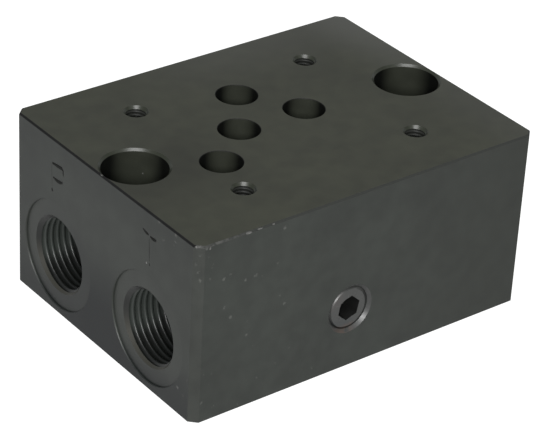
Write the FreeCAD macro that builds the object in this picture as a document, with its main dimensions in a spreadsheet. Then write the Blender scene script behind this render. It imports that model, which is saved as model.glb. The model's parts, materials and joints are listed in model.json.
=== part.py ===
import FreeCAD, Part

import os

import Sketcher

# Valve subplate of the size 10 pattern: a steel block that a valve bolts onto, with pipe ports at
# both ends. Drillings inside join each port to its bore in the valve face. Two cross-drillings come
# in from the long sides, and a taper plug closes the mouth of each.
#
# The origin is the centre of the base. X runs along the block, Y across it and Z up to the valve
# face. Sizes are in millimetres and angles in degrees.

SIZES = {
    # The block: a flat bar cut to length, with its upright corners chamfered and the rims of the
    # valve face and of the base broken
    "block_length": 105.0,
    "block_width": 80.0,
    "block_height": 50.0,
    "corner_chamfer": 2.0,
    "face_rim_break": 0.5,
    "base_rim_break": 0.2,
    # The tip angle of the drills, which every blind hole shows at its bottom
    "drill_point": 118.0,
    # The four tapped holes for the valve's bolts
    "valve_bolt_pitch_x": 54.0,
    "valve_bolt_pitch_y": 46.0,
    "valve_thread_dia": 6.0,
    "valve_thread_pitch": 1.0,
    "valve_drill_depth": 16.0,
    "valve_mouth_over": 0.5,
    # The flow bores in the valve face: pressure, two work bores at plus and minus work_bore_x, tank
    "flow_bore_dia": 11.0,
    "pressure_bore_x": 0.0,
    "pressure_bore_y": 16.7,
    "work_bore_x": 10.3,
    "work_bore_y": 1.6,
    "tank_bore_x": -23.8,
    "tank_bore_y": -9.5,
    # The two counterbored holes that fix the subplate to the machine
    "fixing_hole_dia": 11.0,
    "fixing_head_dia": 17.0,
    "fixing_head_depth": 11.0,
    "fixing_mouth_chamfer": 0.6,
    "fixing_exit_chamfer": 0.5,
    "fixing_wall": 0.4,
    # The pipe ports, two in each end
    "port_level": 17.0,
    "port_spacing": 40.0,
    "port_thread_dia": 20.955,
    "port_thread_pitch": 1.814,
    "port_drill_depth": 20.0,
    "port_mouth_over": 0.5,
    "port_face_dia": 30.0,
    "port_face_depth": 0.5,
    # The channels: how wide they are, how far they run past the axis of what they meet, and how
    # far each cross-drilling lies beside the axis of its work bore
    "channel_dia": 11.0,
    "channel_overrun": 1.0,
    "cross_offset": 5.3,
    # The taper plugs in the mouths of the cross-drillings
    "plug_thread_dia": 12.0,
    "plug_thread_pitch": 1.5,
    "plug_mouth_over": 1.6,
    "plug_length": 10.0,
    "plug_recess": 0.5,
    "plug_seat_runout": 2.0,
    "plug_clearance": 0.02,
    "plug_taper_length": 16.0,
    "plug_face_chamfer": 0.5,
    "plug_end_chamfer": 0.8,
    "plug_socket_width": 6.0,
    "plug_socket_depth": 5.0,
    "plug_socket_turn": 18.0,
    "plug_pilot_under": 0.1,
    "plug_countersink_over": 0.6,
}

# The sides of the block: the plane that each lies parallel to, how far out along that plane's
# normal, and whether a drill goes in along the normal instead of against it
SIDES = {
    "top": ("XY_Plane", "Sizes.block_height", False),
    "left": ("YZ_Plane", "-Sizes.block_length / 2", True),
    "right": ("YZ_Plane", "Sizes.block_length / 2", False),
    "front": ("XZ_Plane", "Sizes.block_width / 2", False),
    "rear": ("XZ_Plane", "-Sizes.block_width / 2", True),
}

SAME_SIZE = 0.001

# The middle line or plane that a point or a sketch lies on
MIDDLE = "0 mm"

doc = FreeCAD.newDocument("ValveSubplate")
sheet = doc.addObject("Spreadsheet::Sheet", "Sizes")
for row, (alias, size) in enumerate(SIZES.items(), start=1):
    sheet.set(f"A{row}", alias.replace("_", " "))
    sheet.set(f"B{row}", str(size))
    sheet.setAlias(f"B{row}", alias)
doc.recompute()


def value(expression):
    """The number that an expression on the sheet gives now."""
    found = sheet.evalExpression(expression)
    return float(getattr(found, "Value", found))


def sketch_on(body, name, role, offset):
    """An empty sketch, parallel to an origin plane of the body and offset along its normal."""
    plane = next(part for part in body.Origin.OriginFeatures if part.Role == role)
    sketch = body.newObject("Sketcher::SketchObject", name)
    sketch.AttachmentSupport = (plane, [""])
    sketch.MapMode = "FlatFace"
    sketch.setExpression("AttachmentOffset.Base.z", offset)
    return sketch


def bind(sketch, constraint, expression):
    """Add a constraint that drives the sketch, with its value tied to the sheet."""
    index = sketch.addConstraint(constraint)
    sketch.setExpression(f"Constraints[{index}]", expression)


def place_point(sketch, geometry, end, x, y):
    """Hold one point of a sketch at its distances from the sketch's origin."""
    bind(sketch, Sketcher.Constraint("DistanceX", -1, 1, geometry, end, value(x)), x)
    bind(sketch, Sketcher.Constraint("DistanceY", -1, 1, geometry, end, value(y)), y)


def draw_outline(sketch, corners):
    """Draw a closed outline of straight lines through corners, each given by its x and y."""
    points = [FreeCAD.Vector(value(x), value(y), 0) for x, y in corners]
    following = list(range(1, len(points))) + [0]
    for here, ahead in enumerate(following):
        sketch.addGeometry(Part.LineSegment(points[here], points[ahead]), False)
    for here, ahead in enumerate(following):
        sketch.addConstraint(Sketcher.Constraint("Coincident", here, 2, ahead, 1))
        place_point(sketch, here, 1, *corners[here])


def draw_circles(sketch, centres, diameter):
    """Draw a circle of one diameter round each centre."""
    up = FreeCAD.Vector(0, 0, 1)
    for x, y in centres:
        centre = FreeCAD.Vector(value(x), value(y), 0)
        circle = sketch.addGeometry(Part.Circle(centre, up, value(diameter) / 2), False)
        bind(sketch, Sketcher.Constraint("Diameter", circle, value(diameter)), diameter)
        place_point(sketch, circle, 3, x, y)


def add_hole(body, name, sketch, diameter, depth, mouth=None, bottom="Angled"):
    """Make a round hole at each circle of a sketch.

    depth is the length of the full bore, or None for a hole right through. mouth is None, or how
    the hole opens: "Countersink" with its diameter, or "Counterbore" with its diameter and depth.
    bottom is "Angled" where a drill leaves its point, and "Flat" where a counterbore is cut.
    """
    hole = body.newObject("PartDesign::Hole", name)
    hole.Profile = sketch
    doc.recompute()
    hole.ThreadType = "None"
    hole.setExpression("Diameter", diameter)
    if depth is None:
        hole.DepthType = "ThroughAll"
    else:
        hole.DepthType = "Dimension"
        hole.setExpression("Depth", depth)
        hole.DrillPoint = bottom
        hole.DrillForDepth = False
        if bottom == "Angled":
            hole.setExpression("DrillPointAngle", "Sizes.drill_point")
    if mouth:
        hole.HoleCutType = mouth[0]
        hole.setExpression("HoleCutDiameter", mouth[1])
        if hole.HoleCutType == "Counterbore":
            hole.setExpression("HoleCutDepth", mouth[2])
        else:
            hole.HoleCutCountersinkAngle = 90
    return hole


def drill(body, name, side, centres, diameter, depth, mouth=None, bottom="Angled"):
    """Drill into one side of the block at each centre, and make sure that metal came out."""
    role, offset, along_normal = SIDES[side]
    before = body.Shape.Volume
    sketch = sketch_on(body, name + "Centres", role, offset)
    draw_circles(sketch, centres, diameter)
    hole = add_hole(body, name, sketch, diameter, depth, mouth, bottom)
    hole.Reversed = along_normal
    doc.recompute()
    if body.Shape.Volume > before - SAME_SIZE:
        raise RuntimeError(name + " cut nothing")


def chamfer(body, name, size, wanted):
    """Chamfer every edge of the body that the test picks out."""
    tip = body.Tip
    edges = [f"Edge{n}" for n, edge in enumerate(tip.Shape.Edges, start=1) if wanted(edge)]
    feature = body.newObject("PartDesign::Chamfer", name)
    feature.Base = (tip, edges)
    feature.setExpression("Size", size)
    doc.recompute()


def near(one, other):
    """Whether two lengths are the same size."""
    return abs(one - other) < SAME_SIZE


def is_upright(edge):
    """Whether an edge is a straight line along Z."""
    box = edge.BoundBox
    return near(box.XLength, 0) and near(box.YLength, 0)


def is_level_with(edge, level):
    """Whether an edge lies flat at a level above the base."""
    box = edge.BoundBox
    return near(box.ZLength, 0) and near(box.ZMin, value(level))


def is_circle(edge, diameter, axis):
    """Whether an edge is a circle of this diameter with its centre line along this axis."""
    if not isinstance(edge.Curve, Part.Circle):
        return False
    return near(edge.Curve.Radius * 2, diameter) and near(abs(edge.Curve.Axis.dot(axis)), 1)


def make_bar(body):
    """Cut the bar to length, chamfer its upright corners and break the rims of both flat faces."""
    sketch = sketch_on(body, "BarSection", "XY_Plane", MIDDLE)
    sides = [("-", "-"), ("", "-"), ("", ""), ("-", "")]
    draw_outline(sketch, [(f"{x}Sizes.block_length / 2", f"{y}Sizes.block_width / 2") for x, y in sides])
    bar = body.newObject("PartDesign::Pad", "Bar")
    bar.Profile = sketch
    bar.setExpression("Length", "Sizes.block_height")
    doc.recompute()
    chamfer(body, "CornerChamfers", "Sizes.corner_chamfer", is_upright)
    face = "Sizes.block_height"
    chamfer(body, "FaceRimBreak", "Sizes.face_rim_break", lambda edge: is_level_with(edge, face))
    chamfer(body, "BaseRimBreak", "Sizes.base_rim_break", lambda edge: is_level_with(edge, MIDDLE))


def drill_valve_face(body):
    """Tap the four bolt holes, and drill the flow bores down to the level of the ports."""
    half_x = "Sizes.valve_bolt_pitch_x / 2"
    half_y = "Sizes.valve_bolt_pitch_y / 2"
    bolts = [(x + half_x, y + half_y) for x in ("-", "") for y in ("-", "")]
    tap_drill = "Sizes.valve_thread_dia - Sizes.valve_thread_pitch"
    mouth = ("Countersink", "Sizes.valve_thread_dia + Sizes.valve_mouth_over")
    drill(body, "ValveBoltHoles", "top", bolts, tap_drill, "Sizes.valve_drill_depth", mouth)

    flow_bores = [
        ("Sizes.pressure_bore_x", "Sizes.pressure_bore_y"),
        ("-Sizes.work_bore_x", "Sizes.work_bore_y"),
        ("Sizes.work_bore_x", "Sizes.work_bore_y"),
        ("Sizes.tank_bore_x", "Sizes.tank_bore_y"),
    ]
    depth = "Sizes.block_height - Sizes.port_level + Sizes.channel_overrun"
    drill(body, "FlowBores", "top", flow_bores, "Sizes.flow_bore_dia", depth)


def drill_fixing_holes(body):
    """Drill the fixing holes and cut their screw-head seats, whose mouths nearly reach the ends.

    The countersunk rim of each seat leaves only a thin wall to the end of the block, so it runs
    out a little into the broken edge there.
    """
    rim = "(Sizes.fixing_head_dia + 2 * Sizes.fixing_mouth_chamfer)"
    reach = f"(Sizes.block_length / 2 - Sizes.fixing_wall - {rim} / 2)"
    centres = [(sign + reach, MIDDLE) for sign in ("-", "")]
    drill(body, "FixingHoles", "top", centres, "Sizes.fixing_hole_dia", None)
    head = "Sizes.fixing_head_dia"
    head_depth = "Sizes.fixing_head_depth"
    drill(body, "HeadSeats", "top", centres, head, head_depth, ("Countersink", rim), "Flat")

    up = FreeCAD.Vector(0, 0, 1)
    hole_dia = value("Sizes.fixing_hole_dia")
    chamfer(
        body,
        "FixingExits",
        "Sizes.fixing_exit_chamfer",
        lambda edge: is_circle(edge, hole_dia, up) and near(edge.Curve.Center.z, 0),
    )


def drill_ports(body):
    """Make the pipe ports: a spot-faced, tapped and countersunk hole for each, two in each end."""
    tap_drill = "Sizes.port_thread_dia - Sizes.port_thread_pitch"
    centres = [(side + "Sizes.port_spacing / 2", "Sizes.port_level") for side in ("-", "")]
    spot_face = ("Counterbore", "Sizes.port_face_dia", "Sizes.port_face_depth")
    for side in ("left", "right"):
        name = side.capitalize() + "Ports"
        drill(body, name, side, centres, tap_drill, "Sizes.port_drill_depth", spot_face)

    along = FreeCAD.Vector(1, 0, 0)
    drill_dia = value(tap_drill)
    floor = value("Sizes.block_length / 2 - Sizes.port_face_depth")
    chamfer(
        body,
        "PortMouths",
        "(Sizes.port_thread_pitch + Sizes.port_mouth_over) / 2",
        lambda edge: is_circle(edge, drill_dia, along) and near(abs(edge.Curve.Center.x), floor),
    )


def drill_channels(body):
    """Join the ports to the flow bores.

    The pressure port's channel runs straight under its bore. The tank port's own drill runs on
    until it breaks into the side of the tank bore. Each work port's channel runs to a
    cross-drilling, which comes in from a long side and breaks into the side of its work bore.
    """
    front_row = "-Sizes.port_spacing / 2"
    rear_row = "Sizes.port_spacing / 2"
    front_cross_x = "(Sizes.cross_offset - Sizes.work_bore_x)"
    rear_cross_x = "(Sizes.cross_offset + Sizes.work_bore_x)"
    half_length = "Sizes.block_length / 2"
    half_width = "Sizes.block_width / 2"
    overrun = "Sizes.channel_overrun"
    level = "Sizes.port_level"
    channel = "Sizes.channel_dia"

    to_pressure = f"{half_length} + Sizes.pressure_bore_x + {overrun}"
    drill(body, "PressureChannel", "left", [(rear_row, level)], channel, to_pressure)

    port_drill = "Sizes.port_thread_dia - Sizes.port_thread_pitch"
    to_tank = f"{half_length} + Sizes.tank_bore_x + {overrun}"
    drill(body, "TankChannel", "left", [(front_row, level)], port_drill, to_tank)

    to_front = f"{half_length} - {front_cross_x} + {overrun}"
    drill(body, "FrontWorkChannel", "right", [(front_row, level)], channel, to_front)
    to_rear = f"{half_length} - {rear_cross_x} + {overrun}"
    drill(body, "RearWorkChannel", "right", [(rear_row, level)], channel, to_rear)

    cross_drill = "Sizes.plug_thread_dia - Sizes.plug_thread_pitch"
    seat = "Sizes.plug_thread_dia"
    seat_depth = "Sizes.plug_recess + Sizes.plug_length + Sizes.plug_seat_runout"
    mouth = ("Countersink", "Sizes.plug_thread_dia + Sizes.plug_mouth_over")
    front = [(front_cross_x, level)]
    rear = [(rear_cross_x, level)]
    from_front = f"{half_width} + Sizes.work_bore_y + {overrun}"
    from_rear = f"{half_width} - Sizes.work_bore_y + {overrun}"
    drill(body, "FrontCrossDrilling", "front", front, cross_drill, from_front)
    drill(body, "RearCrossDrilling", "rear", rear, cross_drill, from_rear)
    drill(body, "FrontPlugSeat", "front", front, seat, seat_depth, mouth)
    drill(body, "RearPlugSeat", "rear", rear, seat, seat_depth, mouth)


def make_block():
    """The block, machined in the order of a shop: bar, valve face, fixing holes, ports, channels."""
    body = doc.addObject("PartDesign::Body", "SubplateBlock")
    body.Label = "subplate_block"
    make_bar(body)
    drill_valve_face(body)
    drill_fixing_holes(body)
    drill_ports(body)
    drill_channels(body)
    return body


def turn_plug(body):
    """Turn the plug: a short taper with a chamfer at its face and a longer one at its inner end."""
    large = "(Sizes.plug_thread_dia / 2 - Sizes.plug_clearance)"
    small = f"({large} - Sizes.plug_length / Sizes.plug_taper_length / 2)"
    sketch = sketch_on(body, "PlugHalfSection", "XZ_Plane", MIDDLE)
    draw_outline(
        sketch,
        [
            (MIDDLE, MIDDLE),
            (f"{large} - Sizes.plug_face_chamfer", MIDDLE),
            (large, "-Sizes.plug_face_chamfer"),
            (small, "Sizes.plug_end_chamfer - Sizes.plug_length"),
            (f"{small} - Sizes.plug_end_chamfer", "-Sizes.plug_length"),
            (MIDDLE, "-Sizes.plug_length"),
        ],
    )
    turned = body.newObject("PartDesign::Revolution", "TurnedTaper")
    turned.Profile = sketch
    turned.ReferenceAxis = (sketch, ["V_Axis"])
    turned.Angle = 360
    doc.recompute()


def broach_socket(body):
    """Sink the hexagon socket: six broached flats, above the point of a countersunk pilot hole."""
    corner = "Sizes.plug_socket_width / 2 / cos(30 deg)"
    hexagon = sketch_on(body, "SocketHexagon", "XY_Plane", MIDDLE)
    turns = [f"((Sizes.plug_socket_turn + {60 * step}) * 1 deg)" for step in range(6)]
    draw_outline(hexagon, [(f"{corner} * cos{turn}", f"{corner} * sin{turn}") for turn in turns])
    socket = body.newObject("PartDesign::Pocket", "Socket")
    socket.Profile = hexagon
    socket.setExpression("Length", "Sizes.plug_socket_depth")
    doc.recompute()

    pilot_dia = "Sizes.plug_socket_width - Sizes.plug_pilot_under"
    countersink = "Sizes.plug_socket_width + Sizes.plug_countersink_over"
    centre = sketch_on(body, "PilotCentre", "XY_Plane", MIDDLE)
    draw_circles(centre, [(MIDDLE, MIDDLE)], pilot_dia)
    mouth = ("Countersink", countersink)
    add_hole(body, "Pilot", centre, pilot_dia, "Sizes.plug_socket_depth", mouth)
    doc.recompute()


def make_plug(name, label, tilt, x, y):
    """A taper plug, screwed into the mouth of a cross-drilling until its face is just inside.

    The plug is made standing on its inner end, with its face up, and tilt lays it over about X so
    that the face looks out of the block.
    """
    body = doc.addObject("PartDesign::Body", name)
    body.Label = label
    turn_plug(body)
    blank = body.Shape.Volume
    broach_socket(body)
    if body.Shape.Volume > blank - SAME_SIZE:
        raise RuntimeError(label + " has no socket")
    body.Placement = FreeCAD.Placement(
        FreeCAD.Vector(value(x), value(y), value("Sizes.port_level")),
        FreeCAD.Rotation(FreeCAD.Vector(1, 0, 0), tilt),
    )
    body.setExpression("Placement.Base.x", x)
    body.setExpression("Placement.Base.y", y)
    body.setExpression("Placement.Base.z", "Sizes.port_level")
    doc.recompute()
    return body


def check_document():
    """Stop with a plain message if anything in the document failed."""
    for item in doc.Objects:
        if "Invalid" in item.State or "Error" in item.State:
            raise RuntimeError(f"{item.Label} failed: {item.State}")


def write_parts(bodies):
    """Write each piece to a file of its own, named as the piece is, once all of them are sound."""
    check_document()
    for body in bodies:
        if body.Shape.isNull() or not body.Shape.isValid() or len(body.Shape.Solids) != 1:
            raise RuntimeError(f"{body.Label} is not one sound solid")
    os.makedirs("parts", exist_ok=True)
    for body in bodies:
        body.Shape.exportStep(f"parts/{body.Label}.step")
        print(f"{body.Label}: {body.Shape.Volume:.0f} cubic mm")


face_in = "Sizes.block_width / 2 - Sizes.plug_recess"
write_parts(
    [
        make_block(),
        make_plug("FrontPlug", "front_plug", 90, "Sizes.cross_offset - Sizes.work_bore_x", f"-({face_in})"),
        make_plug("RearPlug", "rear_plug", -90, "Sizes.cross_offset + Sizes.work_bore_x", face_in),
    ]
)
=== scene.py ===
import json
import math

import bmesh
import bpy
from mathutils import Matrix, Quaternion, Vector


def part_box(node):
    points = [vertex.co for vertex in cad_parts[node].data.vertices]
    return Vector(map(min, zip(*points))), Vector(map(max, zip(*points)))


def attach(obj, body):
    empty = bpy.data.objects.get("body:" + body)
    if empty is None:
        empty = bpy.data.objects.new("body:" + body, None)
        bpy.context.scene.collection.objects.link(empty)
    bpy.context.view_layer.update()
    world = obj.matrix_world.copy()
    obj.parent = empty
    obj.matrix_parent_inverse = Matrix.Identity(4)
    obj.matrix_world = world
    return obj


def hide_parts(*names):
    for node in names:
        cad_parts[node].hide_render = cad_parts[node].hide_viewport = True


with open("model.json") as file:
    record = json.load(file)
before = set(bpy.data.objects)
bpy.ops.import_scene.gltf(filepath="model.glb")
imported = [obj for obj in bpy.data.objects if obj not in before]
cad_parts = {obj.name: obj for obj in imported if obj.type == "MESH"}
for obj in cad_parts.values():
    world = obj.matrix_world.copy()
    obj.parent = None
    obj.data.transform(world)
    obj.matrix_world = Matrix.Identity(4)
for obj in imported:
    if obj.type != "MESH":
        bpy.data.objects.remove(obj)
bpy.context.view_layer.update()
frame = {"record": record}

# Hydraulic valve subplate of the size 10 pattern: a dark phosphated steel block with a valve face on
# top, pipe ports in both ends, two fixing holes and two taper plugs in its cross-drillings.
# Lengths are in millimetres until a mesh is made; the origin is the centre of the base.

mounts = {mount["name"]: mount for mount in frame["record"]["mounts"]}
MM = 0.001

# The bar
# Bright drawn bar of free-cutting steel, cut to length and milled on every side. Its upright corners
# are chamfered on the machine, the rims of the two large faces are broken by hand with a file, and
# the finished block is phosphated dark grey and oiled.

bar_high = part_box("subplate_block")[1] / MM
corner_chamfer = 2.0
# How wide each rim is filed off, and how far the file rolled over on each side of the break.
face_break, face_roll = 0.38, 0.08
base_break, base_roll = 0.16, 0.04
block_skins = []


class Reading:
    """A number or a colour that varies over a surface and takes part in ordinary sums."""

    def __init__(self, finish, socket):
        self.finish = finish
        self.socket = socket

    def maths(self, operation, *values):
        return self.finish.node("ShaderNodeMath", {"operation": operation}, dict(enumerate(values)))

    def __add__(self, other):
        return self.maths("ADD", self, other)

    def __sub__(self, other):
        return self.maths("SUBTRACT", self, other)

    def __rsub__(self, other):
        return self.maths("SUBTRACT", other, self)

    def __mul__(self, other):
        return self.maths("MULTIPLY", self, other)

    def __truediv__(self, other):
        return self.maths("DIVIDE", self, other)

    def __abs__(self):
        return self.maths("ABSOLUTE", self)

    __radd__ = __add__
    __rmul__ = __mul__

    def at_most(self, other):
        return self.maths("MINIMUM", self, other)

    def at_least(self, other):
        return self.maths("MAXIMUM", self, other)

    def sine(self):
        return self.maths("SINE", self)

    def rise(self, start, end):
        """A smooth step from 0 at start to 1 at end, or down again where end is the lower."""
        first, last = (0.0, 1.0) if start < end else (1.0, 0.0)
        settings = {"interpolation_type": "SMOOTHSTEP", "clamp": True}
        values = {0: self, 1: min(start, end), 2: max(start, end), 3: first, 4: last}
        return self.finish.node("ShaderNodeMapRange", settings, values)


class Finish:
    """A surface finish: a material, its place in space and the nodes that are added to it."""

    def __init__(self, name, **constants):
        self.material = bpy.data.materials.new(name)
        self.material.use_nodes = True
        self.tree = self.material.node_tree
        self.shader = self.tree.nodes["Principled BSDF"]
        for socket, value in constants.items():
            self.feed(self.shader.inputs[socket.replace("_", " ")], value)
        self.place = self.node("ShaderNodeTexCoord", output="Object")

    def feed(self, socket, value):
        if isinstance(value, Reading):
            self.tree.links.new(value.socket, socket)
        elif socket.type == "RGBA":
            socket.default_value = (*value, 1.0)
        else:
            socket.default_value = value

    def node(self, kind, settings=None, values=None, output=0):
        """Add a node: its type, its settings, what its sockets are fed, and which output to read."""
        made = self.tree.nodes.new(kind)
        for name, setting in (settings or {}).items():
            setattr(made, name, setting)
        for socket, value in (values or {}).items():
            self.feed(made.inputs[socket], value)
        return Reading(self, made.outputs[output])

    def wear(self, socket, value):
        """Let one property of the surface vary."""
        self.feed(self.shader.inputs[socket], value)

    def shifted(self, step):
        """The place moved by a step in millimetres, so that two patterns don't line up."""
        step = tuple(part * MM for part in step)
        return self.node("ShaderNodeVectorMath", {"operation": "ADD"}, {0: self.place, 1: step})

    def stretched(self, sizes):
        """The place measured in a different unit along each axis, in millimetres."""
        units = tuple(1 / (size * MM) for size in sizes)
        return self.node("ShaderNodeVectorMath", {"operation": "MULTIPLY"}, {0: self.place, 1: units})

    def along(self, axis, start=0.0):
        """How far a point lies along X, Y or Z past a start, in millimetres."""
        return self.node("ShaderNodeSeparateXYZ", values={0: self.place}, output=axis) / MM - start

    def cloud(self, size, detail=3.0, place=None):
        """Soft blotches around 0.5, of a size in millimetres, or of about 1 in a place of their own."""
        scale = 1 / (size * MM) if place is None else 1.0
        values = {"Vector": place or self.place, "Scale": scale, "Detail": detail}
        return self.node("ShaderNodeTexNoise", values=values)

    def blend(self, share, one, other):
        """A colour between two others."""
        return self.node("ShaderNodeMix", {"data_type": "RGBA"}, {0: share, 6: one, 7: other}, output=2)

    def relief(self, height, depth, below=None):
        """A normal that follows a height, where a height of 1 stands this many millimetres proud."""
        values = {"Height": height, "Distance": depth * MM}
        if below:
            values["Normal"] = below
        return self.node("ShaderNodeBump", values=values, output="Normal")


def phosphated(name, colour, roughness=0.5, specular=0.25):
    """Steel under a dark phosphate coat: cloudy, with a fine crystal grain."""
    finish = Finish(name, Roughness=roughness, Specular_IOR_Level=specular)
    finish.cloudy = finish.cloud(22.0, 4.0)
    finish.grain = finish.cloud(0.35, 2.0)
    light = tuple(part * 1.3 for part in colour)
    dark = tuple(part * 0.7 for part in colour)
    blotches = finish.cloudy.rise(0.3, 0.7) + finish.cloud(4.5, 4.0).rise(0.3, 0.7)
    finish.colour = finish.blend(blotches * 0.35 + finish.grain * 0.3, dark, light)
    finish.wear("Base Color", finish.colour)
    finish.wear("Roughness", roughness - 0.06 + finish.cloudy * 0.08 + finish.grain * 0.05)
    finish.normal = finish.relief(finish.grain, 0.004)
    finish.wear("Normal", finish.normal)
    return finish


def scuffed(finish, density, zone, colour):
    """Small light flecks where the coat is knocked through to the steel.

    Every cell of the pattern has a chance of its own, and only the few below the density get a fleck.
    """
    cell_size = 1.9
    values = {"Vector": finish.shifted((3.1, 1.7, 0.4)), "Scale": 1 / (cell_size * MM)}
    from_middle = finish.node("ShaderNodeTexVoronoi", values=values, output="Distance")
    chance = finish.node("ShaderNodeTexVoronoi", values=values, output="Color")
    picked = (zone * density - chance).rise(0.0, 0.02)
    ragged = from_middle + (finish.cloud(0.9) - 0.5) * 0.9
    fleck = ragged.rise(0.34, 0.12) * picked
    finish.colour = finish.blend(fleck * 0.5, finish.colour, colour)
    finish.wear("Base Color", finish.colour)
    finish.wear("Normal", finish.relief(1 - fleck, 0.03, finish.normal))
    return finish


def skin(finish):
    """Keep a finish as one of the block's surfaces, and give its number."""
    block_skins.append(finish.material)
    return len(block_skins) - 1


# The valve face is painted lighter towards the far side and the right rim, as a painted reflection,
# and it is darker round the left fixing hole.
valve_face = phosphated("valve_face_steel", (0.0134, 0.0142, 0.0092), specular=0.2)
# Painted reflection: lighter towards the far side, and towards the right rim most at the far corner.
far_side_painted_reflection = valve_face.along("Y").rise(14.0, 44.0) * valve_face.along("X").rise(-30.0, 15.0)
valve_face.colour = valve_face.blend(far_side_painted_reflection * 0.5, valve_face.colour, (0.028, 0.0285, 0.025))
far_corner_painted_reflection = 0.25 + valve_face.along("Y").rise(-10.0, 37.0) * 0.5
right_rim_painted_reflection = valve_face.along("X").rise(34.0, 54.0) * far_corner_painted_reflection
valve_face.colour = valve_face.blend(right_rim_painted_reflection, valve_face.colour, (0.034, 0.0345, 0.031))
beside_hole = abs(valve_face.along("X", -40.0)).rise(28.0, 4.0)
near_hole = beside_hole * abs(valve_face.along("Y", -6.0)).rise(22.0, 2.0)
valve_face.colour = valve_face.blend(near_hole * 0.45, valve_face.colour, (0.003, 0.003, 0.002))
mill_marks = valve_face.cloud(1.0, 2.0, valve_face.stretched((14.0, 0.45, 9.0)))
valve_face.normal = valve_face.relief(mill_marks, 0.003, valve_face.normal)
FLAT = skin(scuffed(valve_face, 0.016, valve_face.cloudy * 2, (0.07, 0.07, 0.063)))

# The sides carry a faint bloom of rust to the right, and oil has run down the left end below its ports.
# The left end is also painted darker low down, as painted shade.
side = phosphated("side_steel", (0.0130, 0.0148, 0.0128), specular=0.18)
bloom = side.cloud(16.0, 2.0, side.shifted((40.0, 0.0, 7.0))).rise(0.52, 0.68)
rusty = bloom * side.along("X").rise(-20.0, 30.0)
side.colour = side.blend(rusty * 0.5, side.colour, (0.0205, 0.0155, 0.0135))
# Painted shade: the left end is darker low down.
low_end_painted_shade = side.along("Z").rise(20.0, 2.0) * 0.7
port_oil = side.along("Z").rise(34.0, 10.0) * abs(side.along("Y")).rise(31.0, 15.0) * 0.95
handled = (side.along("Z").rise(40.0, 49.0) * 0.25).at_least(side.along("Y").rise(8.0, 32.0) * 0.2)
left_end = side.along("X").rise(-51.9, -52.4)
oil_and_painted_shade = low_end_painted_shade.at_least(port_oil).at_least(handled) * side.cloudy.rise(0.0, 0.4) * left_end
side.colour = side.blend(oil_and_painted_shade, side.colour, (0.0008, 0.0016, 0.002))
# Painted shade: the sides are darker towards the right end.
far_end_painted_shade = side.along("X").rise(-10.0, 60.0)
side.colour = side.blend(far_end_painted_shade * 0.5, side.colour, (0.0075, 0.0085, 0.0065))
side_marks = side.cloud(1.0, 2.0, side.stretched((10.0, 10.0, 0.5)))
side.normal = side.relief(side_marks, 0.0025, side.normal)
near_corner = side.along("X").rise(8.0, -46.0) * side.along("Y").rise(-10.0, -39.0)
near_top = side.along("Z").rise(40.0, 49.0) * side.along("X").rise(-44.0, -49.0)
SIDE = skin(scuffed(side, 0.2, near_corner * (1.2 + near_top * 2) + 0.03, (0.055, 0.056, 0.052)))

# The upright chamfers are scuffed near the top, and the broken rims rubbed bright by the front corner.
# Painted light: the upright chamfers' coat is painted lighter than the sides'.
corner = phosphated("corner_steel", (0.0147, 0.0160, 0.0141), specular=0.19)
CORNER = skin(scuffed(corner, 0.6, corner.along("Z").rise(34.0, 49.0), (0.055, 0.056, 0.052)))

# Painted shade: the broken rims are painted dark, and less dark along the front rim.
broken = phosphated("broken_edge_steel", (0.004, 0.004, 0.004), roughness=0.45, specular=0.08)
along_front = broken.along("Y").rise(-38.1, -38.4)
broken.colour = broken.blend(along_front * 0.8, broken.colour, (0.017, 0.018, 0.0165))
rubbed = broken.along("X").rise(-34.0, -48.0) * along_front
filed = broken.cloud(0.8)
broken.colour = broken.blend(rubbed * filed.rise(0.3, 0.6) * 0.7, broken.colour, (0.04, 0.04, 0.038))
broken.wear("Base Color", broken.colour)
BROKEN = skin(broken)


def bar_outline(inset, level):
    """The eight corners of the bar's section at a level, drawn in by an inset."""
    x = bar_high.x - inset
    y = bar_high.y - inset
    cut = corner_chamfer - inset * (2 - math.sqrt(2))
    quarter = [(x, y - cut), (x - cut, y)]
    half = quarter + [(-a, b) for a, b in reversed(quarter)]
    whole = half + [(-a, -b) for a, b in half]
    return [Vector((a, b, level)) for a, b in whole]


def closed_solid(name, points, faces, skins):
    """A closed mesh from points in millimetres, its faces as point numbers and their skins."""
    mesh = bpy.data.meshes.new(name)
    mesh.from_pydata([point * MM for point in points], [], faces)
    mesh.polygons.foreach_set("material_index", skins)
    for material in block_skins:
        mesh.materials.append(material)
    shape = bmesh.new()
    shape.from_mesh(mesh)
    bmesh.ops.recalc_face_normals(shape, faces=shape.faces)
    shape.to_mesh(mesh)
    shape.free()
    piece = bpy.data.objects.new(name, mesh)
    bpy.context.scene.collection.objects.link(piece)
    return piece


def rim_steps(size, roll):
    """The inset and the drop of each step of a broken rim, from the flat face round to the side."""
    slope = roll * math.sqrt(0.5)
    return [(size + roll, 0.0), (size - slope, slope), (slope, size - slope), (0.0, size + roll)]


def make_bar():
    """The bar with its corners chamfered and its rims broken, each break rolled over softly."""
    base_rim = rim_steps(base_break, base_roll)
    face_rim = rim_steps(face_break, face_roll)
    levels = base_rim + [(inset, bar_high.z - drop) for inset, drop in reversed(face_rim)]
    points = [point for inset, level in levels for point in bar_outline(inset, level)]
    around = 8
    faces = [list(range(around))]
    skins = [FLAT]
    for ring in range(len(levels) - 1):
        start = ring * around
        for here in range(around):
            ahead = (here + 1) % around
            faces.append([start + here, start + ahead, start + around + ahead, start + around + here])
            upright = SIDE if here % 2 else CORNER
            skins.append(upright if ring == len(base_rim) - 1 else BROKEN)
    faces.append(list(range(len(points) - around, len(points))))
    skins.append(FLAT)
    return closed_solid("subplate_block_steel", points, faces, skins)


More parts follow.
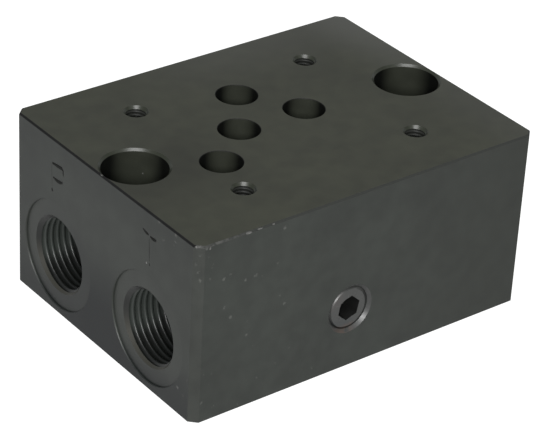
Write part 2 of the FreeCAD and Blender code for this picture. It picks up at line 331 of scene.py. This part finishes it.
# The fixing holes and the flow bores
# Two counterbored holes take the screws that hold the subplate down, and four flow bores carry oil
# up to the valve. The counterbores are countersunk lightly, and the bores only lose their burr.

drill_point = math.tan(math.radians(118 / 2))
bored = phosphated("bored_steel", (0.0116, 0.0126, 0.0094), roughness=0.45, specular=0.1)
# Painted light and shade: the bores are painted lighter on the two walls that face along this line,
# and dark between them.
painted_light_line = (-0.623, -0.782, 0.0)
wall = bored.node("ShaderNodeTexCoord", output="Normal")
product = {"operation": "DOT_PRODUCT"}
painted_light_facing = bored.node("ShaderNodeVectorMath", product, {0: wall, 1: painted_light_line}, output="Value")
bored.colour = bored.blend(abs(painted_light_facing).rise(1.0, 0.6), bored.colour, (0.0018, 0.002, 0.0017))
bored.wear("Base Color", bored.colour)
streaks = bored.cloud(1.0, 2.0, bored.stretched((3.0, 3.0, 0.25)))
feed_marks = (bored.along("Z") * 9.0).sine() * 0.3 + streaks
bored.normal = bored.relief(feed_marks, 0.006, bored.normal)
bored.wear("Normal", bored.normal)
BORED = skin(bored)

sunk = Finish("countersunk_steel", Specular_IOR_Level=0.42)
cutter_rings = sunk.cloud(0.5)
sunk.wear("Base Color", sunk.blend(cutter_rings, (0.003, 0.004, 0.001), (0.006, 0.0075, 0.0028)))
sunk.wear("Roughness", 0.26 + cutter_rings * 0.1)
sunk.wear("Normal", sunk.relief(cutter_rings, 0.003))
SUNK = skin(sunk)


def turned_space(name, mouth, outward, profile, steps=96):
    """The round space that a cutter leaves, as a closed solid to take away from the block.

    profile runs inwards from outside the block. Each point is the distance along the axis, outward
    counted up, the radius, and the skin of the band from there to the next point.
    """
    across = Vector((0, 0, 1)) if abs(outward.z) < 0.5 else Vector((1, 0, 0))
    side_on = outward.cross(across)
    turns = [2 * math.pi * step / steps for step in range(steps)]
    spokes = [across * math.cos(turn) + side_on * math.sin(turn) for turn in turns]
    points = [mouth + outward * profile[0][0]]
    for distance, radius, _ in profile:
        points += [mouth + outward * distance + spoke * radius for spoke in spokes]
    faces = []
    skins = []
    for step in range(steps):
        ahead = (step + 1) % steps
        faces.append([0, 1 + ahead, 1 + step])
        skins.append(profile[0][2])
        for ring in range(len(profile) - 1):
            start = 1 + ring * steps
            faces.append([start + step, start + ahead, start + steps + ahead, start + steps + step])
            skins.append(profile[ring][2])
    last_distance, last_radius, last_skin = profile[-1]
    points.append(mouth + outward * (last_distance - last_radius / drill_point))
    start = 1 + (len(profile) - 1) * steps
    for step in range(steps):
        faces.append([start + step, start + (step + 1) % steps, len(points) - 1])
        skins.append(last_skin)
    return closed_solid(name, points, faces, skins)


UP = Vector((0, 0, 1))
cuts = []
large_round, small_round = 128, 64

# A flare is how far a cutter's cone goes on past the face, so that the cut is clean.
head_radius, head_depth, fixing_mouth, flare = 8.5, 11.0, 0.6, 0.3
fixing = mounts["fixing_bolts"]["dims"]
shank = fixing["hole_r_mm"]
for number, sign in enumerate((-1, 1)):
    centre = Vector((sign * fixing["spacing_x_mm"] / 2, 0, bar_high.z))
    cuts.append(
        turned_space(
            f"fixing_hole_{number}",
            centre,
            UP,
            [
                (flare, head_radius + fixing_mouth + flare, SUNK),
                (-fixing_mouth, head_radius, BORED),
                (-head_depth, head_radius, BORED),
                (-head_depth, shank, BORED),
                (fixing_mouth - bar_high.z, shank, SUNK),
                (-bar_high.z - flare, shank + fixing_mouth + flare, SUNK),
            ],
            large_round,
        )
    )

bore_break = 0.12
for name in ("pressure_bore", "left_work_bore", "right_work_bore", "tank_bore"):
    bore = mounts[name]
    centre = Vector((*(part / MM for part in bore["pos_m"][:2]), bar_high.z))
    radius = bore["dims"]["r_mm"]
    cuts.append(
        turned_space(
            name + "_space",
            centre,
            UP,
            [
                (bore_break, radius + 2 * bore_break, BROKEN),
                (-bore_break, radius, BORED),
                (-bore["dims"]["length_mm"], radius, BORED),
            ],
        )
    )

# The tapped holes
# Four M6 holes take the valve's bolts and four G 1/2 ports take the pipe fittings. Each is drilled,
# countersunk and tapped, so the thread runs out of the countersink as a bright spiral. The ports'
# threads are painted darker at the bottom and in their depth, as painted shade.

threaded = Finish("tapped_steel", Specular_IOR_Level=0.28)
torn = threaded.cloud(0.7)
port_low_painted_shade = threaded.along("Z", 17.0).rise(-3.5, -8.0)
port_deep_painted_shade = abs(threaded.along("X")).rise(44.0, 38.5)
cut_grey = threaded.blend(torn, (0.010, 0.0122, 0.0105), (0.016, 0.0185, 0.0165))
port_painted_shade = (port_low_painted_shade + port_deep_painted_shade).at_most(1.0) * 0.9
threaded.wear("Base Color", threaded.blend(port_painted_shade, cut_grey, (0.0008, 0.001, 0.0008)))
threaded.wear("Roughness", 0.36 + torn * 0.08)
threaded.wear("Normal", threaded.relief(torn, 0.0015))
THREAD = skin(threaded)
# Painted shade: the M6 threads are painted darker than the ports' threads.
small_thread = phosphated("small_thread_steel", (0.008, 0.0085, 0.0075), roughness=0.5, specular=0.12)
SMALL_THREAD = skin(small_thread)

spot_faced = phosphated("spot_faced_steel", (0.0126, 0.0142, 0.0123), roughness=0.46, specular=0.18)
# The left end's spot faces are painted darker low down, as painted shade, and oil lies on them on the
# side between the two ports.
spot_low_painted_shade = spot_faced.along("Z").rise(10.0, 3.0)
spot_between = spot_faced.along("Y").rise(-7.0, 4.0) * spot_faced.along("Y").rise(30.0, 22.0)
spot_oil_and_painted_shade = spot_low_painted_shade.at_least(spot_faced.along("Z").rise(36.0, 20.0) * spot_between)
spot_oil_and_painted_shade = spot_oil_and_painted_shade * spot_faced.along("X").rise(0.0, -10.0) * 0.6
spot_faced.wear("Base Color", spot_faced.blend(spot_oil_and_painted_shade, spot_faced.colour, (0.0008, 0.0016, 0.002)))
SPOT = skin(spot_faced)
# Painted shade and light: the port mouths are painted dark, and lighter low down where light falls.
port_sink = phosphated("port_mouth_steel", (0.006, 0.0065, 0.006), roughness=0.4, specular=0.2)
mouth_painted_light = port_sink.along("Z", 17.0).rise(1.0, -6.0)
port_sink.wear("Base Color", port_sink.blend(mouth_painted_light, port_sink.colour, (0.014, 0.0138, 0.011)))
MOUTH = skin(port_sink)


def thread_space(name, mouth, outward, radii, pitch, length, steps, cut_skin):
    """The spiral space that a right-hand tap leaves, which starts outside the block and fades out.

    The space is one closed skin: rows of points run down the hole, the last turn of each meets the
    next one, and a fan closes either end. radii are the drilled hole's and the full thread's.
    """
    across = Vector((0, 0, 1)) if abs(outward.z) < 0.5 else Vector((1, 0, 0))
    side_on = outward.cross(across)
    # One turn of the thread: how far along its pitch each corner lies, and how deep it is cut there.
    form = [(0.09, 0.0), (0.23, 0.17), (0.45, 1.0), (0.55, 1.0), (0.77, 0.17), (0.91, 0.0)]
    turns_outside, inside_drilling, fading_turns = 1.3, 0.012, 2
    turns = math.ceil(length / pitch) + 2
    start = turns_outside * pitch
    drill_radius, full_radius = radii
    low = drill_radius - inside_drilling
    rows = [(turn + phase, height) for turn in range(turns) for phase, height in form]
    rows.append((turns + form[0][0], 0.0))
    points = []
    for step in range(steps):
        turn = 2 * math.pi * step / steps
        spoke = across * math.cos(turn) + side_on * math.sin(turn)
        for phase, height in rows:
            distance = start - pitch * (phase - step / steps)
            fade = min(1.0, max(0.0, (distance + length) / (fading_turns * pitch)))
            radius = low + (full_radius - low) * height * fade
            points.append(mouth + outward * distance + spoke * radius)
    rows_high = len(rows)
    per_turn = len(form)
    faces = []
    for step in range(steps):
        ahead = (step + 1) % steps
        back = per_turn if ahead == 0 else 0
        for row in range(back, rows_high - 1):
            here = step * rows_high + row
            there = ahead * rows_high + row - back
            faces.append([here, here + 1, there + 1, there])
    first = (steps - 1) * rows_high
    last = rows_high - 1
    outer = [step * rows_high for step in range(steps)]
    outer += [first + row for row in range(1, per_turn + 1)]
    inner = [step * rows_high + last for step in range(steps)]
    inner += [last - per_turn + row for row in range(per_turn)]
    for rim, distance in ((outer, start + 1.5 * pitch), (inner, start - pitch * (turns + 0.5))):
        points.append(mouth + outward * distance)
        middle = len(points) - 1
        faces += [[one, other, middle] for one, other in zip(rim, rim[1:] + rim[:1])]
    return closed_solid(name, points, faces, [cut_skin] * len(faces))


bolts = mounts["valve_bolts"]["dims"]
bolt_radius, bolt_pitch, bolt_mouth, bolt_drill_depth, bolt_thread = 3.0, 1.0, 3.25, 16.0, 13.5
flare = 0.2
for number, (x_sign, y_sign) in enumerate(((-1, -1), (1, -1), (1, 1), (-1, 1))):
    across_x = x_sign * bolts["spacing_x_mm"] / 2
    across_y = y_sign * bolts["spacing_y_mm"] / 2
    centre = Vector((across_x, across_y, bar_high.z))
    radius = bolts["hole_r_mm"]
    cuts.append(
        turned_space(
            f"valve_bolt_drilling_{number}",
            centre,
            UP,
            [
                (flare, bolt_mouth + flare, SUNK),
                (radius - bolt_mouth, radius, SMALL_THREAD),
                (-bolt_drill_depth, radius, BORED),
            ],
            small_round,
        )
    )
    radii = (radius, bolt_radius)
    tapped = (bolt_pitch, bolt_thread, small_round, SMALL_THREAD)
    cuts.append(thread_space(f"valve_bolt_thread_{number}", centre, UP, radii, *tapped))

# The pipe ports and the channels
# Each port has a spot face for the fitting's seal, a countersink, a G 1/2 thread and a stepped drill
# that runs on as the channel. The tank port's own drill is the channel that meets its bore.

port_thread_radius, port_pitch, port_thread_length = 20.955 / 2, 1.814, 16.0
port_mouth, port_depth, spot_radius, spot_depth, channel_radius = 1.157, 20.0, 15.0, 0.5, 5.5
# The spot face's wall leans outwards above this depth, where its burr was rubbed off. The tap was
# this share of a turn ahead, which sets where its thread comes out round the mouth.
rim_lean, rim_start, turn_ahead = math.tan(math.radians(33)), -0.25, 0.15
flare = 0.3
channel_ends = {"pressure_port": 53.5, "tank_port": 29.7, "front_work_port": 58.5, "rear_work_port": 37.9}
for name, channel_end in channel_ends.items():
    port = mounts[name]
    outward = Vector(port["axis"])
    place = Vector(port["pos_m"]) / MM
    centre = Vector((outward.x * bar_high.x, place.y, place.z))
    radius = port["dims"]["r_mm"]
    profile = [
        (flare, spot_radius + rim_lean * (flare - rim_start), SPOT),
        (rim_start, spot_radius, SPOT),
        (-spot_depth, spot_radius, SPOT),
        (-spot_depth, radius + port_mouth, MOUTH),
        (-spot_depth - port_mouth, radius, THREAD),
    ]
    if name == "tank_port":
        profile.append((-channel_end, radius, BORED))
    else:
        profile.append((-port_depth, radius, BORED))
        step_end = port_depth + (radius - channel_radius) / drill_point
        profile.append((-step_end, channel_radius, BORED))
        profile.append((-channel_end, channel_radius, BORED))
    cuts.append(turned_space(name + "_space", centre, outward, profile, large_round))
    tap_start = centre + outward * (port_pitch * turn_ahead - spot_depth)
    radii = (radius, port_thread_radius)
    tapped = (port_pitch, port_thread_length, large_round, THREAD)
    cuts.append(thread_space(name + "_thread", tap_start, outward, radii, *tapped))

# The plug seats
# A cross-drilling comes in from each long side to meet a work bore. Its mouth is opened to 12 mm and
# countersunk, and sealant and a trace of rust have crept out round the plug.

plug_radius, cross_radius, seat_length, seat_mouth, flare = 6.0, 5.25, 12.5, 0.8, 0.25
seats = {"front_plug": (Vector((0, -1, 0)), 42.6), "rear_plug": (Vector((0, 1, 0)), 39.4)}
plug_places = {}
seat_steel = Finish("seat_steel", Specular_IOR_Level=0.35)
seat_grain = seat_steel.cloud(0.5)
seat_colour = seat_steel.blend(seat_grain, (0.012, 0.0125, 0.012), (0.02, 0.0205, 0.0195))
below = seat_steel.along("Z", 17.0).rise(-3.5, -6.0) * seat_steel.along("X", -5.0).rise(3.0, -1.0)
beside = seat_steel.along("Z", 17.0).rise(4.0, 6.0) * seat_steel.along("X", -5.0).rise(0.5, -2.5) * 0.6
creep = (below + beside) * seat_steel.cloud(1.4).rise(0.3, 0.6)
seat_steel.wear("Base Color", seat_steel.blend(creep.at_most(1.0), seat_colour, (0.025, 0.0185, 0.0145)))
seat_steel.wear("Roughness", 0.34 + creep * 0.3 + seat_grain * 0.1)
seat_steel.wear("Normal", seat_steel.relief(seat_grain, 0.003))
SEAT = skin(seat_steel)

for name, (outward, cross_end) in seats.items():
    low, high = (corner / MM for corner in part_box(name))
    middle = (low + high) / 2
    centre = Vector((middle.x, outward.y * bar_high.y, middle.z))
    plug_places[name] = centre
    seat_foot = seat_length + (plug_radius - cross_radius) / drill_point
    cuts.append(
        turned_space(
            name + "_seat",
            centre,
            outward,
            [
                (flare, plug_radius + seat_mouth + flare, SEAT),
                (-seat_mouth, plug_radius, SEAT),
                (-seat_length, plug_radius, BORED),
                (-seat_foot, cross_radius, BORED),
                (-cross_end, cross_radius, BORED),
            ],
        )
    )

# The stamped letters and the knocks
# The pressure and tank ports are marked P and T with hand punches, unevenly struck. The block also has
# small dents, most of them on its top rim by the front corner, where blocks knock together in a box.

stamped = phosphated("stamped_steel", (0.0065, 0.0066, 0.0062), roughness=0.4, specular=0.1)
STAMP = skin(stamped)
knocked = Finish("knocked_steel", Metallic=0.5, Roughness=0.5)
knocked.wear("Base Color", knocked.blend(knocked.cloud(0.6), (0.03, 0.03, 0.028), (0.1, 0.1, 0.095)))
KNOCK = skin(knocked)


def stamped_stroke(name, stroke):
    """A V-shaped groove in the left end, along points given by Y, Z and the width there."""
    proud = 0.1
    steep = 0.45
    points = []
    for number, (y, z, width) in enumerate(stroke):
        before = stroke[max(number - 1, 0)]
        after = stroke[min(number + 1, len(stroke) - 1)]
        run = Vector((0, after[0] - before[0], after[1] - before[1])).normalized()
        across = run.cross(Vector((1, 0, 0))) * (width / 2 + proud / steep / 2)
        middle = Vector((-bar_high.x, y, z))
        out = middle + Vector((-proud, 0, 0))
        points += [out + across, out - across, middle + Vector((width * steep, 0, 0))]
    faces = [[0, 1, 2], [len(points) - 3, len(points) - 1, len(points) - 2]]
    for start in range(0, len(points) - 3, 3):
        for here, ahead in ((0, 1), (1, 2), (2, 0)):
            faces.append([start + here, start + ahead, start + 3 + ahead, start + 3 + here])
    return closed_solid(name, points, faces, [STAMP] * len(faces))


# Each stroke is a row of Y, Z and width. The weakly struck stems are hairlines.
strokes = {
    "stamp_p_stem": [(22.7, 42.6, 0.1), (22.6, 40.0, 0.12), (22.5, 36.2, 0.1)],
    "stamp_p_foot": [(22.45, 35.8, 0.4), (22.43, 35.4, 0.75), (22.42, 34.8, 0.6)],
    "stamp_p_top": [
        (22.4, 43.0, 0.6),
        (20.3, 43.2, 1.0),
        (18.2, 43.4, 1.05),
        (17.5, 43.0, 0.65),
        (17.4, 42.2, 0.6),
        (17.4, 41.4, 0.12),
    ],
    "stamp_p_middle": [(22.0, 39.1, 0.5), (20.3, 38.9, 1.05), (18.9, 39.0, 1.1), (17.6, 39.5, 0.6)],
    "stamp_t_bar_a": [(-17.5, 44.4, 0.35), (-18.4, 43.95, 0.75), (-19.2, 43.8, 0.85), (-20.0, 43.75, 0.5)],
    "stamp_t_bar_b": [(-20.6, 43.55, 0.5), (-21.6, 43.4, 0.9), (-22.6, 43.5, 0.95), (-23.2, 43.55, 0.5)],
    "stamp_t_stem": [(-20.2, 42.6, 0.14), (-20.4, 39.5, 0.2), (-20.5, 36.6, 0.16)],
    "stamp_t_foot": [(-20.55, 36.1, 0.2), (-20.58, 35.7, 0.4), (-20.6, 35.3, 0.3)],
}
for name, stroke in strokes.items():
    cuts.append(stamped_stroke(name, stroke))


def dent(name, place, size):
    """A small dent with a rough, faceted bottom, turned differently at every place."""
    shape = bmesh.new()
    bmesh.ops.create_icosphere(shape, subdivisions=1, radius=1.0)
    lean = Quaternion((0.3, 0.8, 0.5), place[0] * 1.7)
    middle = Vector(place)
    reach = Vector(size)
    points = [middle + (lean @ corner.co) * reach for corner in shape.verts]
    faces = [[corner.index for corner in face.verts] for face in shape.faces]
    shape.free()
    return closed_solid(name, points, faces, [KNOCK] * len(faces))


# Each knock is the place of its middle and its reach along X, Y and Z.
knocks = [
    ((-52.3, 0.7, 49.95), (0.25, 0.7, 0.22)),
    ((-37.9, -40.1, 49.8), (1.1, 0.5, 0.45)),
    ((-34.6, -40.1, 49.9), (1.4, 0.45, 0.35)),
    ((-30.6, -40.1, 49.9), (0.7, 0.45, 0.4)),
    ((-52.0, -38.6, 49.7), (0.4, 0.5, 0.4)),
    ((-49.1, -40.1, 49.2), (0.35, 0.3, 0.5)),
    ((-bar_high.x - 0.1, -19.4, 35.6), (0.35, 0.4, 0.4)),
    ((-19.9, -6.5, 50.05), (0.25, 0.25, 0.3)),
    ((-47.9, -7.3, 50.05), (0.25, 0.25, 0.2)),
    ((-36.6, 5.75, 43.3), (0.25, 0.25, 0.3)),
]
for number, (place, size) in enumerate(knocks):
    cuts.append(dent(f"knock_{number}", place, size))

# The finished block
# Every space is taken out of the bar in turn, which leaves the crossing drillings open to each other.

sharp_angle, thread_sharp_angle = 32, 50


def machine(blank, spaces, operation="DIFFERENCE"):
    """Cut spaces out of a blank, or keep only what lies in them, and throw the cutters away.

    Edges are sharp where faces meet at a clear angle. A tapped thread is also smooth over its crest,
    which the tap leaves rounded, and stays sharp along its root.
    """
    for space in spaces:
        step = blank.modifiers.new(space.name, "BOOLEAN")
        step.object = space
        step.operation = operation
        step.solver = "MANIFOLD"
    shaped = blank.evaluated_get(bpy.context.evaluated_depsgraph_get())
    mesh = bpy.data.meshes.new_from_object(shaped)
    blank.modifiers.clear()
    blank.data = mesh
    for space in spaces:
        bpy.data.objects.remove(space)
    mesh.polygons.foreach_set("use_smooth", [True] * len(mesh.polygons))
    mesh.set_sharp_from_angle(angle=math.radians(sharp_angle))
    shape = bmesh.new()
    shape.from_mesh(mesh)
    for edge in shape.edges:
        if all(face.material_index in (THREAD, SMALL_THREAD) for face in edge.link_faces):
            edge.smooth = edge.calc_face_angle(0.0) < math.radians(thread_sharp_angle)
    shape.to_mesh(mesh)
    shape.free()
    weighted = blank.modifiers.new("faces_stay_flat", "WEIGHTED_NORMAL")
    weighted.keep_sharp = True
    return blank


block = machine(make_bar(), cuts)
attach(block, "root")
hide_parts("subplate_block")

# The taper plugs
# Short M12 x 1.5 taper plugs of plain steel with a hexagon socket, screwed in until the face lies
# just below the block's side. The socket is broached over a drilled pilot, and the broach tore one
# corner. The face is smeared darker low down, with a trace of rust on its rim.

plug_steel = Finish("plug_steel", Metallic=0.1, Specular_IOR_Level=0.42)
plug_grain = plug_steel.cloud(0.45)
plug_cloud = plug_steel.cloud(4.0)
mottled = plug_grain * 0.5 + plug_cloud * 0.5
plug_colour = plug_steel.blend(mottled, (0.0115, 0.0121, 0.0113), (0.021, 0.0216, 0.0203))
pink = plug_steel.along("X", -5.0).rise(-1.0, -4.0) * plug_steel.along("Z", 17.0).rise(0.0, 3.0)
plug_colour = plug_steel.blend(pink * 0.3, plug_colour, (0.034, 0.026, 0.024))
smeared = plug_steel.along("Z", 17.0).rise(-1.0, -4.5) * plug_steel.along("X", -5.0).rise(3.0, -1.0)
plug_colour = plug_steel.blend(smeared * 0.6, plug_colour, (0.007, 0.0095, 0.0105))
low_rim = plug_steel.along("Z", 17.0).rise(-4.0, -5.6) * plug_steel.along("X", -5.0).rise(3.5, 0.0)
plug_rust = low_rim * plug_cloud.rise(0.3, 0.55)
plug_steel.wear("Base Color", plug_steel.blend(plug_rust, plug_colour, (0.04, 0.024, 0.017)))
plug_steel.wear("Roughness", 0.35 + plug_cloud * 0.12 + plug_rust * 0.25)
plug_steel.wear("Normal", plug_steel.relief(plug_grain, 0.006))
# Painted shade: the hexagon socket is painted much darker than the plug's steel.
socket_steel = phosphated("socket_steel", (0.0042, 0.0043, 0.0041), roughness=0.4, specular=0.15)
block_skins[:] = [plug_steel.material, socket_steel.material]
PLUG, SOCKET = 0, 1
# No face of a plug is a tapped thread, so none is smoothed as one.
THREAD = SMALL_THREAD = None

plug_length, plug_recess, plug_clearance, plug_pitch, taper = 10.0, 0.5, 0.02, 1.5, 16.0
face_chamfer, end_chamfer, socket_width, socket_depth, socket_turn = 0.5, 0.8, 6.0, 5.0, 18.0
thread_depth, thread_crest, run_on, plug_round = 0.92, 0.05, 9.0, 96
pilot_under, sink_over, above_face = 0.05, 0.08, 0.2


def hexagon_space(name, mouth, outward, turn):
    """The space of the hexagon socket, from outside the face down to the bottom of the broach.

    The broach tore its third corner, where a lip of steel stands beside what is left of the corner.
    """
    across = Vector((-outward.y, 0, 0))
    corner = socket_width / 2 / math.cos(math.pi / 6)
    outline = [(turn + 60 * step, corner) for step in range(6) if step != 2]
    torn_corner = [(105, 3.1), (112, 2.94), (119, 2.94), (123, 3.36)]
    outline += [(turn + degrees, reach) for degrees, reach in torn_corner]
    outline.sort()
    points = []
    outside = 0.5
    for depth in (outside, -socket_depth):
        for degrees, reach in outline:
            angle = math.radians(degrees)
            spoke = across * math.cos(angle) + UP * math.sin(angle)
            points.append(mouth + outward * depth + spoke * reach)
    sides = len(outline)
    faces = [list(range(sides)), list(range(sides, 2 * sides))]
    for here in range(sides):
        ahead = (here + 1) % sides
        faces.append([here, ahead, sides + ahead, sides + here])
    return closed_solid(name, points, faces, [SOCKET] * len(faces))


for name, centre in plug_places.items():
    outward = seats[name][0]
    face = centre - outward * plug_recess
    large = plug_radius - plug_clearance
    small = large - plug_length / taper / 2
    blank = turned_space(
        name + "_steel",
        face,
        outward,
        [
            (0.0, large - face_chamfer, PLUG),
            (-face_chamfer, large, PLUG),
            (end_chamfer - plug_length, small, PLUG),
            (-plug_length, small - end_chamfer, PLUG),
        ],
    )
    tip = blank.data.vertices[-1]
    tip.co = (face - outward * plug_length) * MM
    radii = (plug_radius - thread_depth, plug_radius + thread_crest)
    cut = (plug_pitch, plug_length + run_on, plug_round, PLUG)
    spiral = thread_space(name + "_spiral", face, outward, radii, *cut)
    plug = machine(blank, [spiral], "INTERSECT")
    pilot_radius = socket_width / 2 - pilot_under
    sink = socket_width / 2 + sink_over
    pilot = turned_space(
        name + "_pilot",
        face,
        outward,
        [
            (above_face, sink + above_face, PLUG),
            (pilot_radius - sink, pilot_radius, SOCKET),
            (-socket_depth, pilot_radius, SOCKET),
        ],
        small_round,
    )
    plug = machine(plug, [hexagon_space(name + "_hexagon", face, outward, socket_turn), pilot])
    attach(plug, "root")
    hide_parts(name)

# The table and the light
# A white table that is lit through from below, as for a catalogue picture, and three soft lights: a
# large one overhead, one at a window to the left front, and a small lamp beside the camera, which
# puts the glints on the threads and on the far rims of the holes.

table_finish = Finish("lit_table", Roughness=0.9, Specular_IOR_Level=0.1, Emission_Strength=0.97)
table_finish.wear("Emission Color", (1.0, 1.0, 1.0))
table_finish.wear("Base Color", (0.1, 0.1, 0.1))
table_radius = 3.0
table_mesh = bpy.data.meshes.new("table")
shape = bmesh.new()
bmesh.ops.create_circle(shape, cap_ends=True, segments=96, radius=table_radius)
shape.to_mesh(table_mesh)
shape.free()
table_mesh.materials.append(table_finish.material)
table = bpy.data.objects.new("table", table_mesh)
table.location.z = -0.2 * MM
bpy.context.scene.collection.objects.link(table)


def soft_light(name, direction, distance, size, power):
    """A square soft box that faces the block from a direction, in metres and watts."""
    lamp = bpy.data.lights.new(name, "AREA")
    lamp.size = size
    lamp.energy = power
    light = bpy.data.objects.new(name, lamp)
    direction = Vector(direction).normalized()
    light.location = Vector((0, 0, bar_high.z / 2)) * MM + direction * distance
    light.rotation_mode = "QUATERNION"
    light.rotation_quaternion = direction.to_track_quat("Z", "Y")
    bpy.context.scene.collection.objects.link(light)


soft_light("overhead_light", (0.0, 0.0, 1.0), 1.6, 2.4, 12.0)
soft_light("window_light", (-0.34, -0.42, 0.84), 1.0, 0.55, 8.0)
soft_light("lamp_by_camera", (-0.56, -0.69, 0.46), 1.2, 0.26, 24.0)

world = bpy.data.worlds.new("studio")
world.use_nodes = True
sky = world.node_tree.nodes["Background"]
sky.inputs["Color"].default_value = (0.95, 0.98, 1.0, 1.0)
sky.inputs["Strength"].default_value = 0.6
bpy.context.scene.world = world

# The camera
# It stands well back with a long lens, above the left front of the block, and leans a little.

eye = Vector((-342.91, -431.25, 349.36)) * MM
aim = Vector((0.142, -2.644, 21.69)) * MM
lean = math.radians(3.22)
lens = bpy.data.cameras.new("camera")
lens.sensor_width = 36.0
lens.lens = 160.8
lens.clip_start = 0.01
camera = bpy.data.objects.new("camera", lens)
camera.location = eye
camera.rotation_mode = "QUATERNION"
camera.rotation_quaternion = (aim - eye).to_track_quat("-Z", "Y") @ Quaternion((0, 0, 1), lean)
bpy.context.scene.collection.objects.link(camera)
bpy.context.scene.camera = camera
bpy.context.scene.view_settings.view_transform = "Standard"
